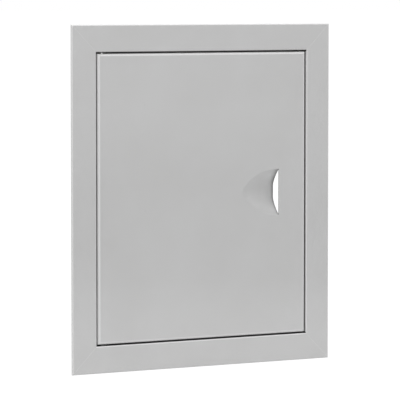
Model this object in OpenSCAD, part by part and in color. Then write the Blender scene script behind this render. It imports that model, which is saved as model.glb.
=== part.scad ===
// Flush metal access panel: a pressed tray door on hidden pivots in a mitred sheet-steel frame.
// X runs to the right, Y into the wall and Z up. The origin is the centre of the opening, on the
// wall's face, so the flange's folded edge stands on Y = 0 and the front face is just before it.

/* [Opening and frame] */
// Clear width between the frame's side walls
opening_w = 250; // [200:1:400]
// Clear height between the frame's top and bottom walls
opening_h = 300; // [240:1:500]
// Width of the flange that covers the cut edge of the wall
flange_w = 28; // [24:0.5:45]
// Depth of the folded edge round the flange, from the front face to the wall
edge_d = 2.5; // [2.4:0.1:5]
// Sheet thickness of the frame
frame_t = 1; // [0.8:0.1:1.2]
// Outside radius of the frame's folds
frame_fold_r = 1.3; // [1.25:0.05:1.5]
// Width of the lip behind the door, measured into the opening
stop_w = 12; // [11:0.5:18]
// Width of the hairline seam between two mitred rails
mitre_gap = 0.25; // [0.1:0.05:0.4]

/* [Wall fixings] */
// Radius of each screw hole in the side walls
fixing_r = 2.25; // [1.75:0.25:3]
// Distance of the screw holes from the opening's corners
fixing_corner = 50; // [35:5:80]
// Distance of the screw holes behind the front face
fixing_back = 9.5; // [7:0.5:12]

/* [Corner plates] */
// Length of each leg of a corner plate
gusset_leg = 70; // [45:1:90]
// Width of each leg of a corner plate
gusset_w = 19; // [14:0.5:21]
// Thickness of a corner plate
gusset_t = 1; // [0.8:0.1:1.2]
// Distance of a corner plate from the inside of the folded edge
gusset_inset = 1.5; // [1:0.1:2]

/* [Door leaf] */
// Gap between the door and the frame on every side
door_gap = 1.5; // [1.4:0.1:3]
// Sheet thickness of the door
leaf_t = 1; // [0.8:0.1:1.2]
// Depth of the door's folded sides
leaf_d = 15; // [14.5:0.5:18]
// Outside radius of the door's folds
leaf_fold_r = 2.25; // [1.75:0.25:2.5]
// Width of the return behind the latch edge, which the magnets hold
return_w = 12; // [11:0.5:14]
// Distance from the back of the door to the lip
stop_gap = 3; // [2.8:0.1:5]

/* [Finger scoop] */
// Depth of the pressed scoop at its open end
scoop_d = 13; // [9:0.5:13]
// Length of the scoop, from its open end to its tip
scoop_len = 44; // [36:1:60]
// Radius of the hollow
scoop_r = 30; // [24:1:45]
// Distance from the scoop's open end to the door's latch edge
scoop_inset = 32.4; // [28:0.1:60]
// Height of the scoop's middle above the door's middle
scoop_rise = 1.2; // [-60:0.1:60]

/* [Pivots] */
// Distance of the pivot behind the door's hinge edge
pivot_in = 7; // [6.5:0.25:9]
// Distance of the pivot behind the front face
pivot_back = 5; // [4.8:0.1:5.5]
// Radius of both hinge pins
pin_r = 2; // [1.5:0.1:2.2]
// Running play round a pin, on the radius
pin_play = 0.05; // [0.03:0.01:0.09]
// Play round a pin where it passes the door's sheet, on the radius
sheet_play = 0.3; // [0.2:0.05:0.5]
// Length of a pin inside the frame, past the opening's edge
pin_reach = 4; // [3:0.25:5]
// Bevel on the tip of a pin
pin_bevel = 0.6; // [0.3:0.1:1]

/* [Bushes and washer] */
// Radius of the bush's collar, which lies in the gap
bush_collar_r = 4.4; // [4.3:0.1:5.5]
// Thickness of the collar
bush_collar_t = 0.8; // [0.5:0.1:0.9]
// Radius of the bush's barrel
bush_barrel_r = 3.4; // [3.2:0.1:3.8]
// Length of the barrel past the opening's edge
bush_len = 6; // [5.5:0.25:8]
// Height of the snap rim that holds the bush in the sheet
bush_rim = 0.35; // [0.2:0.05:0.5]
// Play of the barrel in its hole, on the radius
bush_play = 0.05; // [0.02:0.01:0.1]
// Outside radius of the thrust washer
washer_r = 4.2; // [4:0.1:5]
// Running gap between the thrust washer and the door
washer_play = 0.1; // [0.05:0.05:0.2]

/* [Hinge brackets] */
// Sheet thickness of the brackets
bracket_t = 1.5; // [1.2:0.1:1.8]
// Outside radius of the brackets' folds
bracket_fold_r = 2.5; // [2:0.25:3]
// Height of the upper bracket
upper_bracket_h = 30; // [26:1:45]
// Height of the lower bracket
lower_bracket_h = 22; // [20:1:32]
// Length of an ear past the pin's axis
ear_over = 5; // [4:0.25:8]
// Distance of the brackets from the back of the door
bracket_inset = 1; // [0.5:0.25:2]
// Radius of a rivet's shank
rivet_r = 1.6; // [1.2:0.1:1.8]
// Radius of a rivet's head
rivet_head_r = 2.8; // [2.4:0.1:3]
// Height of a rivet's head
rivet_head_h = 0.7; // [0.5:0.1:0.9]
// Bevel round a rivet's head
rivet_bevel = 0.35; // [0.1:0.05:0.4]
// Height of a rivet's closing head
rivet_tail_h = 1.4; // [1:0.1:1.6]
// Distance of the rivets behind the front face
rivet_back = 10; // [9:0.25:11]
// Half the distance between the upper bracket's rivets
upper_rivet_z = 7; // [4:0.5:9]
// Half the distance between the lower bracket's rivets
lower_rivet_z = 4.5; // [3.5:0.25:5]
// Radius of the lower pin's head
pin_head_r = 3.3; // [3:0.1:3.6]
// Height of the lower pin's head
pin_head_h = 1.4; // [1:0.1:2]
// Bevel round the lower pin's head
pin_head_bevel = 0.7; // [0.3:0.1:0.9]

/* [Spring pin] */
// Thickness of the clip on the spring pin
clip_t = 0.8; // [0.6:0.1:1]
// Outside radius of the clip
clip_r = 3.6; // [3.4:0.1:3.7]
// Depth of the clip's groove in the pin
groove_d = 0.4; // [0.3:0.05:0.5]
// Gap between the clip and the ear that stops it
clip_gap = 0.2; // [0.1:0.05:0.3]
// Length of the pin below the lower ear, down to the bend
tail_len = 9; // [8:0.5:14]
// Length of the bent finger leg, from the pin's axis
finger_len = 20; // [14:0.5:26]
// Radius of the bend, at the middle of the pin
finger_bend_r = 4; // [3:0.25:6]
// Thickness of the spring's wire
wire_d = 0.8; // [0.6:0.05:0.9]
// Radius of the spring, at the middle of the wire
spring_r = 2.9; // [2.85:0.01:3]
// Number of curls in the spring
spring_turns = 9; // [7:1:11]
// Gap between the spring and each face that it bears on
spring_gap = 0.1; // [0.05:0.05:0.2]

/* [Magnetic catches] */
// Distance of each catch's middle from the opening's corner
catch_corner = 60; // [45:1:75]
// Distance of a catch's middle from the opening's edge
catch_in = 6.5; // [6:0.25:7]
// Width of a catch's body
catch_w = 9; // [8.5:0.25:10]
// Length of a catch's body, without its ears
catch_len = 34; // [32:1:40]
// Depth of a catch's body behind the lip
catch_d = 11; // [10.5:0.5:14]
// Length of each ear of a catch
catch_ear = 9; // [8:0.5:12]
// Thickness of each ear of a catch
catch_ear_t = 3; // [2:0.25:4]
// Length of the magnet
magnet_len = 28; // [20:1:28]
// Width of the magnet
magnet_w = 4.4; // [3.5:0.1:4.8]
// Depth of the magnet behind the lip
magnet_d = 8.5; // [7:0.25:9]
// Thickness of a pole plate
pole_t = 1; // [0.8:0.1:1.1]
// Distance from the tips of the pole plates to the door
pole_gap = 0.3; // [0.2:0.1:0.5]
// Distance of the magnet behind the tips of the pole plates
magnet_sink = 1.5; // [1:0.1:2]
// Clearance round the pole plates
pole_play = 0.1; // [0.05:0.05:0.15]
// Radius of a catch screw's shank
screw_r = 1.3; // [1:0.1:1.5]
// Radius of a catch screw's head
screw_head_r = 2.7; // [2.3:0.1:3]
// Height of a catch screw's head
screw_head_h = 1.6; // [1.2:0.1:2]
// Length of a catch screw's shank
screw_len = 6; // [4:0.5:8]
// Width of the driver cross in a screw's head
cross_w = 0.6; // [0.4:0.1:0.8]
// Length of the driver cross
cross_len = 3; // [2.4:0.1:3.6]
// Depth of the driver cross
cross_d = 0.8; // [0.5:0.1:1]
// Clearance round a screw's shank
screw_play = 0.1; // [0.05:0.05:0.2]

/* [Bumpers] */
// Radius of a rubber bumper
bumper_r = 4; // [3:0.25:4.5]
// Distance of a bumper's middle from the opening's edge
bumper_in = 5; // [4.75:0.25:5.5]
// Gap between a bumper and the closed door
bumper_gap = 0.3; // [0.2:0.1:0.5]
// Distance of the side bumpers from the opening's corners
bumper_corner = 20; // [12:1:30]
// Distance of the top and bottom bumpers from the opening's middle
bumper_x = 60; // [20:1:90]

/* [Hidden] */

paint = [0.76, 0.76, 0.75];
zinc = [0.68, 0.70, 0.72];
nylon = [0.88, 0.87, 0.83];
black = [0.10, 0.10, 0.11];
steel = [0.55, 0.56, 0.58];

// Overall size and the planes that the pieces share
outer_w = opening_w + 2 * flange_w;
outer_h = opening_h + 2 * flange_w;
front_y = -edge_d;
flange_back_y = front_y + frame_t;
leaf_back_y = front_y + leaf_d;
stop_y = leaf_back_y + stop_gap;
frame_back_y = stop_y + frame_t;
fixing_z = opening_h / 2 - fixing_corner;
catch_z = opening_h / 2 - catch_corner;
leaf_w = opening_w - 2 * door_gap;
leaf_h = opening_h - 2 * door_gap;

// The pivot's axis, and the spring pin's stations along it
pivot_x = -leaf_w / 2 + pivot_in;
pivot_y = front_y + pivot_back;
pin_tip_z = opening_h / 2 + pin_reach;
bracket_top_z = leaf_h / 2 - leaf_t;
upper_ear_z = bracket_top_z - bracket_t;
lower_ear_z = bracket_top_z - upper_bracket_h + bracket_t;
clip_top_z = upper_ear_z - clip_gap;
clip_low_z = clip_top_z - clip_t;
bracket_x = -leaf_w / 2 + leaf_t;

fold_steps = 6;
round_fn = 48;
past = 1;

// Outlines of folded sheet: a strip of thickness t along the middle line through path, with
// square folds of outside radius r.
function run(a, b) = (b - a) / norm(b - a);
function beside(d) = [-d[1], d[0]];
function fold(a, b, c, r, side) =
    let (
        d1 = run(a, b),
        d2 = run(b, c),
        centre = b + r * (d2 - d1),
        rho = r - side * sign(cross(d1, d2))
    )
    [for (i = [0:fold_steps])
        let (angle = 90 * i / fold_steps) centre + rho * (d1 * sin(angle) - d2 * cos(angle))];
function strip_side(path, r, side) =
    let (last = len(path) - 1)
    concat(
        [path[0] + side * beside(run(path[0], path[1]))],
        [for (i = [1:last - 1]) each fold(path[i - 1], path[i], path[i + 1], r, side)],
        [path[last] + side * beside(run(path[last - 1], path[last]))]
    );
function reversed(points) = [for (i = [len(points) - 1:-1:0]) points[i]];
function strip(path, t, r) =
    concat(strip_side(path, r - t / 2, t / 2), reversed(strip_side(path, r - t / 2, -t / 2)));

// A quarter circle of points round centre, from one angle to the next
function quarter(centre, r, from) =
    [for (i = [0:fold_steps])
        centre + r * [cos(from + 90 * i / fold_steps), sin(from + 90 * i / fold_steps)]];

// The rails' profile: X runs from the outer edge towards the opening, Y into the wall.
rail_path = [
    [frame_t / 2, 0],
    [frame_t / 2, front_y + frame_t / 2],
    [flange_w - frame_t / 2, front_y + frame_t / 2],
    [flange_w - frame_t / 2, frame_back_y - frame_t / 2],
    [flange_w + stop_w, frame_back_y - frame_t / 2]
];

// A rail at the left of a frame that is span wide, cut to a mitre at both ends
module rail(length, span) {
    reach = 2 * (flange_w + stop_w + frame_back_y);
    difference() {
        translate([-span / 2, 0, 0])
            linear_extrude(length, center = true) polygon(strip(rail_path, frame_t, frame_fold_r));
        for (end = [0, 1]) mirror([0, 0, end])
            translate([-span / 2, 0, length / 2]) rotate([0, 45, 0])
                translate([-reach, -reach, -mitre_gap / 2]) cube([2 * reach, 2 * reach, reach]);
    }
}

module frame_top_rail() color(paint) difference() {
    rotate([0, 90, 0]) rail(outer_w, outer_h);
    bush_hole();
}

module frame_bottom_rail() color(paint) difference() {
    mirror([0, 0, 1]) rotate([0, 90, 0]) rail(outer_w, outer_h);
    mirror([0, 0, 1]) bush_hole();
}

module frame_hinge_rail() color(paint) difference() {
    rail(outer_h, outer_w);
    fixing_holes();
}

module frame_latch_rail() color(paint) difference() {
    mirror([1, 0, 0]) rail(outer_h, outer_w);
    mirror([1, 0, 0]) fixing_holes();
    for (side = [-1, 1]) catch_at(side) catch_cuts();
}

module bush_hole() {
    translate([pivot_x, pivot_y, opening_h / 2 - past])
        cylinder(h = frame_t + 2 * past, r = bush_barrel_r + bush_play, $fn = round_fn);
}

module fixing_holes() {
    for (side = [-1, 1])
        translate([-opening_w / 2 + past, front_y + fixing_back, side * fixing_z]) rotate([0, -90, 0])
            cylinder(h = frame_t + 2 * past, r = fixing_r, $fn = round_fn);
}

// Flat L plates across the mitres, behind the flange
module corner_gussets() color(zinc) {
    edge = frame_t + gusset_inset;
    for (mx = [0, 1], mz = [0, 1]) mirror([mx, 0, 0]) mirror([0, 0, mz])
        translate([-outer_w / 2 + edge, flange_back_y + gusset_t, outer_h / 2 - edge])
            rotate([90, 0, 0]) linear_extrude(gusset_t) polygon([
                [0, 0], [gusset_leg, 0], [gusset_leg, -gusset_w], [gusset_w, -gusset_w],
                [gusset_w, -gusset_leg], [0, -gusset_leg]
            ]);
}

// A bush with its collar in the gap and its barrel out through the frame's wall
module pivot_bush() {
    bore = pin_r + pin_play;
    translate([pivot_x, pivot_y, opening_h / 2]) rotate_extrude($fn = round_fn) polygon([
        [bore, -bush_collar_t], [bush_collar_r, -bush_collar_t], [bush_collar_r, 0],
        [bush_barrel_r, 0], [bush_barrel_r, frame_t + bush_play],
        [bush_barrel_r + bush_rim, frame_t + bush_play + bush_rim],
        [bush_barrel_r - bush_rim, bush_len], [bore, bush_len]
    ]);
}

module upper_pivot_bush() color(black) pivot_bush();

module lower_pivot_bush() color(black) mirror([0, 0, 1]) pivot_bush();

// The washer that carries the door's weight on the lower bush's collar
module thrust_washer() color(black) {
    washer_t = door_gap - bush_collar_t - washer_play;
    translate([pivot_x, pivot_y, -opening_h / 2 + bush_collar_t]) difference() {
        cylinder(h = washer_t, r = washer_r, $fn = round_fn);
        translate([0, 0, -past])
            cylinder(h = washer_t + 2 * past, r = pin_r + sheet_play, $fn = round_fn);
    }
}

// Places its children at a catch: the origin is then on the lip's back face.
module catch_at(side) {
    translate([opening_w / 2 - catch_in, frame_back_y, side * catch_z]) children();
}

// A block centred on X and Z, from y0 to y1
module block(w, y0, y1, h) {
    translate([-w / 2, y0, -h / 2]) cube([w, y1 - y0, h]);
}

catch_screw_z = (catch_len + catch_ear) / 2;
poles_w = magnet_w + 2 * pole_t + 2 * pole_play;

// The window for the magnet and the two screw holes in the lip
module catch_cuts() {
    block(poles_w + 2 * pole_play, -frame_t - past, past, magnet_len + 2 * pole_play);
    for (z = [-catch_screw_z, catch_screw_z]) translate([0, past, z]) rotate([90, 0, 0])
        cylinder(h = frame_t + 2 * past, r = screw_r + screw_play, $fn = round_fn);
}

module catch_housing() {
    difference() {
        union() {
            block(catch_w, 0, catch_d, catch_len);
            block(catch_w, 0, catch_ear_t, catch_len + 2 * catch_ear);
        }
        block(poles_w + 2 * pole_play, -past, magnet_d + pole_play, magnet_len + 2 * pole_play);
        for (z = [-catch_screw_z, catch_screw_z])
            translate([0, catch_ear_t + past, z]) rotate([90, 0, 0])
                cylinder(h = catch_ear_t + 2 * past, r = screw_r + screw_play, $fn = round_fn);
    }
}

module upper_catch_housing() color(nylon) catch_at(1) catch_housing();

module lower_catch_housing() color(nylon) catch_at(-1) catch_housing();

pole_tip = leaf_back_y + pole_gap - frame_back_y;

module magnet() {
    block(magnet_w, pole_tip + magnet_sink, magnet_d, magnet_len);
}

module upper_catch_magnet() color(black) catch_at(1) magnet();

module lower_catch_magnet() color(black) catch_at(-1) magnet();

module pole_plates() {
    for (side = [-1, 1]) translate([side * (magnet_w + pole_t + 2 * pole_play) / 2, 0, 0])
        block(pole_t, pole_tip, magnet_d, magnet_len);
}

module upper_pole_plates() color(steel) catch_at(1) pole_plates();

module lower_pole_plates() color(steel) catch_at(-1) pole_plates();

// Cross-headed screws from the front of the lip into the catches' ears
module catch_screws() color(zinc) {
    for (side = [-1, 1], z = [-catch_screw_z, catch_screw_z]) catch_at(side)
        translate([0, -frame_t, z]) rotate([-90, 0, 0]) difference() {
            union() {
                translate([0, 0, -screw_head_h])
                    cylinder(h = screw_head_h, r = screw_head_r, $fn = round_fn);
                cylinder(h = screw_len, r = screw_r, $fn = round_fn);
            }
            for (turn = [0, 90]) rotate([0, 0, turn])
                translate([-cross_len / 2, -cross_w / 2, -screw_head_h - past])
                    cube([cross_len, cross_w, past + cross_d]);
        }
}

// Rubber discs on the front of the lip, which the closed door meets
module door_bumpers() color(black) {
    thick = stop_gap - bumper_gap;
    side_x = opening_w / 2 - bumper_in;
    side_z = opening_h / 2 - bumper_corner;
    end_z = opening_h / 2 - bumper_in;
    for (mz = [-1, 1], place = [[side_x, side_z], [bumper_x, end_z]])
        translate([place[0], stop_y, mz * place[1]]) rotate([90, 0, 0])
            cylinder(h = thick, r = bumper_r, $fn = round_fn);
}

// The leaf across its width, seen from above. With an inset it is the hollow, open at the back
// up to the return that is folded in behind the latch edge.
function leaf_section(inset, r) =
    let (
        left = -leaf_w / 2 + leaf_fold_r,
        right = leaf_w / 2 - leaf_fold_r,
        mouth = leaf_w / 2 - return_w
    )
    concat(
        quarter([left, front_y + leaf_fold_r], r, 180),
        quarter([right, front_y + leaf_fold_r], r, 270),
        quarter([right, leaf_back_y - leaf_fold_r], r, 0),
        inset > 0 ? [[mouth, leaf_back_y - inset], [mouth, leaf_back_y + past]] : [],
        [[-leaf_w / 2 + inset, leaf_back_y + (inset > 0 ? past : 0)]]
    );

// The leaf's outer block or, with an inset, its hollow: both have the folds of all four edges.
module leaf_block(inset) {
    r = leaf_fold_r - inset;
    half_h = leaf_h / 2 - inset;
    back = leaf_back_y + past;
    intersection() {
        linear_extrude(2 * half_h, center = true) polygon(leaf_section(inset, r));
        rotate([0, 90, 0]) linear_extrude(leaf_w, center = true) polygon(concat(
            [[half_h, back], [-half_h, back]],
            quarter([-leaf_h / 2 + leaf_fold_r, front_y + leaf_fold_r], r, 180),
            quarter([leaf_h / 2 - leaf_fold_r, front_y + leaf_fold_r], r, 270)
        ));
    }
}

scoop_x = leaf_w / 2 - scoop_inset;
scoop_tilt = atan(scoop_d / scoop_len);

// The scoop's round hollow, tilted from its tip down to its open end, cut off square at that end
module scoop_hollow(r) {
    span = scoop_len + 2 * r;
    intersection() {
        translate([scoop_x, front_y + scoop_d, scoop_rise]) rotate([0, 0, scoop_tilt])
            translate([span / 2, -scoop_r, 0]) rotate([0, -90, 0])
                cylinder(h = span * 1.5, r = r, $fn = round_fn);
        translate([scoop_x - 2 * span, front_y - 2 * span, -span])
            cube([2 * span, 4 * span, 2 * span]);
    }
}

module door_leaf() color(paint) {
    difference() {
        union() {
            difference() {
                leaf_block(0);
                leaf_block(leaf_t);
            }
            difference() {
                scoop_hollow(scoop_r + leaf_t);
                translate([-leaf_w, front_y - leaf_w, -leaf_h]) cube([2 * leaf_w, leaf_w, 2 * leaf_h]);
            }
        }
        scoop_hollow(scoop_r);
        for (mz = [0, 1]) mirror([0, 0, mz]) translate([pivot_x, pivot_y, leaf_h / 2 - leaf_t - past])
            cylinder(h = leaf_t + 2 * past, r = pin_r + sheet_play, $fn = round_fn);
        rivet_holes(upper_rivets());
        rivet_holes(lower_rivets());
    }
}

function upper_rivets() = let (middle = bracket_top_z - upper_bracket_h / 2)
    [middle - upper_rivet_z, middle + upper_rivet_z];
function lower_rivets() = let (middle = -bracket_top_z + lower_bracket_h / 2)
    [middle - lower_rivet_z, middle + lower_rivet_z];

module rivet_holes(heights) {
    for (z = heights) translate([-leaf_w / 2 - past, front_y + rivet_back, z]) rotate([0, 90, 0])
        cylinder(h = leaf_t + bracket_t + 2 * past, r = rivet_r + pin_play, $fn = round_fn);
}

module rivets(heights) {
    grip = leaf_t + bracket_t;
    for (z = heights) translate([-leaf_w / 2, front_y + rivet_back, z]) rotate([0, 90, 0])
        rotate_extrude($fn = round_fn) polygon([
            [0, -rivet_head_h], [rivet_head_r - rivet_bevel, -rivet_head_h],
            [rivet_head_r, rivet_bevel - rivet_head_h], [rivet_head_r, 0], [rivet_r, 0],
            [rivet_r, grip], [rivet_head_r - rivet_bevel, grip], [rivet_r, grip + rivet_tail_h],
            [0, grip + rivet_tail_h]
        ]);
}

module upper_bracket_rivets() color(zinc) rivets(upper_rivets());

module lower_bracket_rivets() color(zinc) rivets(lower_rivets());

// A channel with two ears that carry the pin, riveted to the door's hinge side
module hinge_bracket(h) {
    base_x = bracket_x + bracket_t / 2;
    tip_x = pivot_x + ear_over;
    top = bracket_top_z - bracket_t / 2;
    low = bracket_top_z - h + bracket_t / 2;
    fore = front_y + leaf_fold_r;
    rear = leaf_back_y - bracket_inset;
    difference() {
        translate([0, rear, 0]) rotate([90, 0, 0]) linear_extrude(rear - fore)
            polygon(strip([[tip_x, top], [base_x, top], [base_x, low], [tip_x, low]],
                bracket_t, bracket_fold_r));
        translate([pivot_x, pivot_y, bracket_top_z - h - past])
            cylinder(h = h + 2 * past, r = pin_r + pin_play, $fn = round_fn);
    }
}

module upper_hinge_bracket() color(zinc) difference() {
    hinge_bracket(upper_bracket_h);
    rivet_holes(upper_rivets());
}

module lower_hinge_bracket() color(zinc) difference() {
    mirror([0, 0, 1]) hinge_bracket(lower_bracket_h);
    rivet_holes(lower_rivets());
}

// The fixed lower pin, with its head on the upper ear of the lower bracket
module lower_hinge_pin() color(steel) {
    head_z = pin_tip_z - bracket_top_z + lower_bracket_h;
    translate([pivot_x, pivot_y, -pin_tip_z]) rotate_extrude($fn = round_fn) polygon([
        [0, 0], [pin_r - pin_bevel, 0], [pin_r, pin_bevel], [pin_r, head_z],
        [pin_head_r, head_z], [pin_head_r, head_z + pin_head_h - pin_head_bevel],
        [pin_head_r - pin_head_bevel, head_z + pin_head_h], [0, head_z + pin_head_h]
    ]);
}

// The spring pin at rest, with its groove for the clip and a bent leg for the finger
module upper_hinge_pin() color(steel) {
    bend_z = lower_ear_z - bracket_t - tail_len;
    groove_r = pin_r - groove_d;
    translate([pivot_x, pivot_y, 0]) {
        rotate_extrude($fn = round_fn) polygon([
            [0, bend_z], [pin_r, bend_z], [pin_r, clip_low_z - pin_play],
            [groove_r, clip_low_z - pin_play], [groove_r, clip_top_z + pin_play],
            [pin_r, clip_top_z + pin_play], [pin_r, pin_tip_z - pin_bevel],
            [pin_r - pin_bevel, pin_tip_z], [0, pin_tip_z]
        ]);
        translate([finger_bend_r, 0, bend_z]) rotate([90, 0, 0])
            rotate([0, 0, 180]) rotate_extrude(angle = 90, $fn = round_fn)
                translate([finger_bend_r, 0]) circle(r = pin_r, $fn = round_fn);
        translate([finger_bend_r, 0, bend_z - finger_bend_r]) rotate([0, 90, 0])
            cylinder(h = finger_len - finger_bend_r, r = pin_r, $fn = round_fn);
    }
}

// A flat C clip in the pin's groove, which the spring pushes up
module pin_clip() color(steel) {
    translate([pivot_x, pivot_y, clip_low_z]) difference() {
        cylinder(h = clip_t, r = clip_r, $fn = round_fn);
        translate([0, 0, -past])
            cylinder(h = clip_t + 2 * past, r = pin_r - groove_d + pin_play, $fn = round_fn);
        translate([0, -pin_r + groove_d, -past])
            cube([2 * clip_r, 2 * (pin_r - groove_d), clip_t + 2 * past]);
    }
}

// The spring's wire lies on a round wall of radius spring_r. Unrolled, its route is a straight
// end, an arc of radius wire_d, a slope, and the same again at the top.
spring_low_z = lower_ear_z + spring_gap;
spring_h = clip_low_z - spring_gap - spring_low_z;
spring_slope = atan((spring_h - 4 * wire_d) / spring_turns / (2 * PI * spring_r));
slope_h = spring_h - 2 * wire_d * (1 + cos(spring_slope));
slope_s = slope_h / tan(spring_slope);
rings_a_curl = 8;
bend_steps = 4;
slope_rings = ceil(rings_a_curl * slope_s / (2 * PI * spring_r));
end_route = concat(
    [[0, 0]],
    [for (i = [0:bend_steps - 1]) let (a = 90 - (90 - spring_slope) * i / bend_steps)
        [wire_d * (1 - sin(a)), wire_d * (1 + cos(a))]]
);
slope_start = wire_d * [1 - sin(spring_slope), 1 + cos(spring_slope)];
spring_end = [slope_start[0] * 2 + slope_s, spring_h];
spring_route = concat(
    end_route,
    [for (i = [0:slope_rings]) slope_start + [slope_s, slope_h] * i / slope_rings],
    reversed([for (p = end_route) spring_end - p])
);
function on_wall(p) = let (a = p[0] / spring_r * 180 / PI)
    [spring_r * cos(a), spring_r * sin(a), p[1]];
spring_points = [for (p = spring_route) on_wall(p)];
function least_gap(points, apart, thick) =
    min([for (i = [0:len(points) - 1 - apart], j = [i + apart:len(points) - 1])
        norm(points[i] - points[j])]) - thick;
echo(spring_least_gap = least_gap(spring_points, rings_a_curl / 2 + 1, wire_d));

// One unbroken six-sided tube along points that lie on a round wall, with flat square ends
module wall_tube(points, thick) {
    last = len(points) - 1;
    sides = 6;
    rings = [for (i = [0:last])
        let (
            along = i == 0 || i == last ? [0, 0, 1] : run(points[i - 1], points[i + 1]),
            out = [points[i][0], points[i][1], 0] / norm([points[i][0], points[i][1]]),
            up = cross(along, out)
        )
        [for (k = [0:sides - 1])
            points[i] + thick / 2 * (out * cos(360 * k / sides) + up * sin(360 * k / sides))]];
    faces = concat(
        [[for (k = [0:sides - 1]) k]],
        [for (i = [0:last - 1], k = [0:sides - 1], half = [0, 1])
            let (
                a = i * sides + k,
                b = i * sides + (k + 1) % sides
            )
            half == 0 ? [a, a + sides, b] : [b, a + sides, b + sides]],
        [[for (k = [sides - 1:-1:0]) last * sides + k]]
    );
    polyhedron(points = [for (ring = rings) each ring], faces = faces);
}

module pin_spring() color(zinc) {
    translate([pivot_x, pivot_y, spring_low_z]) wall_tube(spring_points, wire_d);
}

frame_top_rail();
frame_bottom_rail();
frame_hinge_rail();
frame_latch_rail();
corner_gussets();
upper_pivot_bush();
lower_pivot_bush();
thrust_washer();
upper_catch_housing();
lower_catch_housing();
upper_catch_magnet();
lower_catch_magnet();
upper_pole_plates();
lower_pole_plates();
catch_screws();
door_bumpers();
door_leaf();
upper_hinge_bracket();
lower_hinge_bracket();
lower_hinge_pin();
upper_bracket_rivets();
lower_bracket_rivets();
pin_spring();
upper_hinge_pin();
pin_clip();
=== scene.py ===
"""Looks of the flush metal access panel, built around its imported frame. Lengths are in metres."""

import math

import bmesh
import bpy
from mathutils import Matrix, Vector


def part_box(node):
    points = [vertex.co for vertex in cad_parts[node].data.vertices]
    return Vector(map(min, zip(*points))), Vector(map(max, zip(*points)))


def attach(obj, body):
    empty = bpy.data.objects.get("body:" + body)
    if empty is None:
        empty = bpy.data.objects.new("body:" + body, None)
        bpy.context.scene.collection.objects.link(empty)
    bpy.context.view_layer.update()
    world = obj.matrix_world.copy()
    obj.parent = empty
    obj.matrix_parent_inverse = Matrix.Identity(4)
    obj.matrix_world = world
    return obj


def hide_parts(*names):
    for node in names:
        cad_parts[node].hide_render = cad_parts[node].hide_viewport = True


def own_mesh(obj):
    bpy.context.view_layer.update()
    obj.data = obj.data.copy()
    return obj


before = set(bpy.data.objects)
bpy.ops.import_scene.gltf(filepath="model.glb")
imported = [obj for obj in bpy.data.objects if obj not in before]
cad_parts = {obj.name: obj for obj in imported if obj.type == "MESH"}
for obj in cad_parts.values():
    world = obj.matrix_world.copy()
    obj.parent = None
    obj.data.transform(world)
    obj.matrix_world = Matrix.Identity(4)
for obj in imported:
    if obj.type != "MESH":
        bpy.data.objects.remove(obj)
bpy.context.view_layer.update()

MM = 0.001
QUARTER = math.pi / 2
CORNERS = [(sx, sz) for sx in (-1, 1) for sz in (-1, 1)]    # signs of x and z in the four corners

# Places taken from the frame
LEAF_LOW, LEAF_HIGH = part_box("door_leaf")
SIDE_LOW, SIDE_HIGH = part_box("frame_hinge_rail")
TOP_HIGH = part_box("frame_top_rail")[1]
GUSSET_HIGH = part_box("corner_gussets")[1]
PIN_LOW, PIN_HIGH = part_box("lower_hinge_pin")
SPRING_LOW, SPRING_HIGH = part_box("pin_spring")
FRONT = LEAF_LOW.y
OUTER_X = -SIDE_LOW.x
OUTER_Z = TOP_HIGH.z
LIP_BACK = SIDE_HIGH.y
LIP_IN = OUTER_X + SIDE_HIGH.x
PIVOT = Vector(((PIN_LOW.x + PIN_HIGH.x) / 2, (PIN_LOW.y + PIN_HIGH.y) / 2, 0))

# Sizes that the frame's boxes don't give
SHEET = 1 * MM
FLANGE = 28 * MM
GAP = 1.5 * MM
GAP_X = LEAF_HIGH.x + GAP / 2    # the middle of the gap round the door
GAP_Z = LEAF_HIGH.z + GAP / 2
FRAME_FOLD = 1.3 * MM            # outside radius of the rails' folds
LEAF_FOLD = 2.75 * MM            # outside radius of the door's folds
RETURN = 12 * MM                 # the width of the fold behind the door's right side
SEAM = 0.25 * MM                 # half the width of the filler in a mitre
PIN_HOLE = 2.3 * MM              # radius
RIVET_HOLE = 1.65 * MM           # radius
RIVET_Y = 7.5 * MM
UPPER_RIVETS = (125.5 * MM, 139.5 * MM)
LOWER_RIVETS = (-141 * MM, -132 * MM)

# The finger scoop
SCOOP_X = 91.1 * MM              # its open end
SCOOP_Z = 1.2 * MM               # its middle line
SCOOP_LENGTH = 44.5 * MM
SCOOP_DEPTH = 11.0 * MM          # at the open end, before its floor turns down
SCOOP_HALF = 24.3 * MM           # half its height at the open end
FLOOR_SHARE = 0.25               # how much of its height is floor, between its flanks
RIM_SOFT = 0.75 * MM             # its rim rounds off over this distance on both sides
CURL_R = 3.5 * MM                # its floor turns down by this radius at the open end
CURL_END = math.radians(56)
CURL_START = math.atan(SCOOP_DEPTH / SCOOP_LENGTH)
CURL_WIDTH = CURL_R * (math.sin(CURL_END) - math.sin(CURL_START))
SLIT = 0.005 * MM                # how far its cut end stands from the edge of the flat sheet
RIM_SAMPLES = [(0.0, 0.0)] + [(RIM_SOFT * r * math.cos(a), RIM_SOFT * r * math.sin(a))
                              for r, count in ((0.5, 6), (1.0, 10))
                              for a in (2 * math.pi * k / count for k in range(count))]

# How finely the meshes are made
SHARP_ANGLE = math.radians(32)   # edges above it get a bevel, and the facets of folds lie below it
SCOOP_STEP = 0.6 * MM
FOLD_STEPS = 8
CORNER_SOFT = 0.5 * MM           # where two folds meet, the ridge rounds off over this depth
ALIKE = 1e-7                     # places closer than this are the same place


# Mesh helpers

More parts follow.
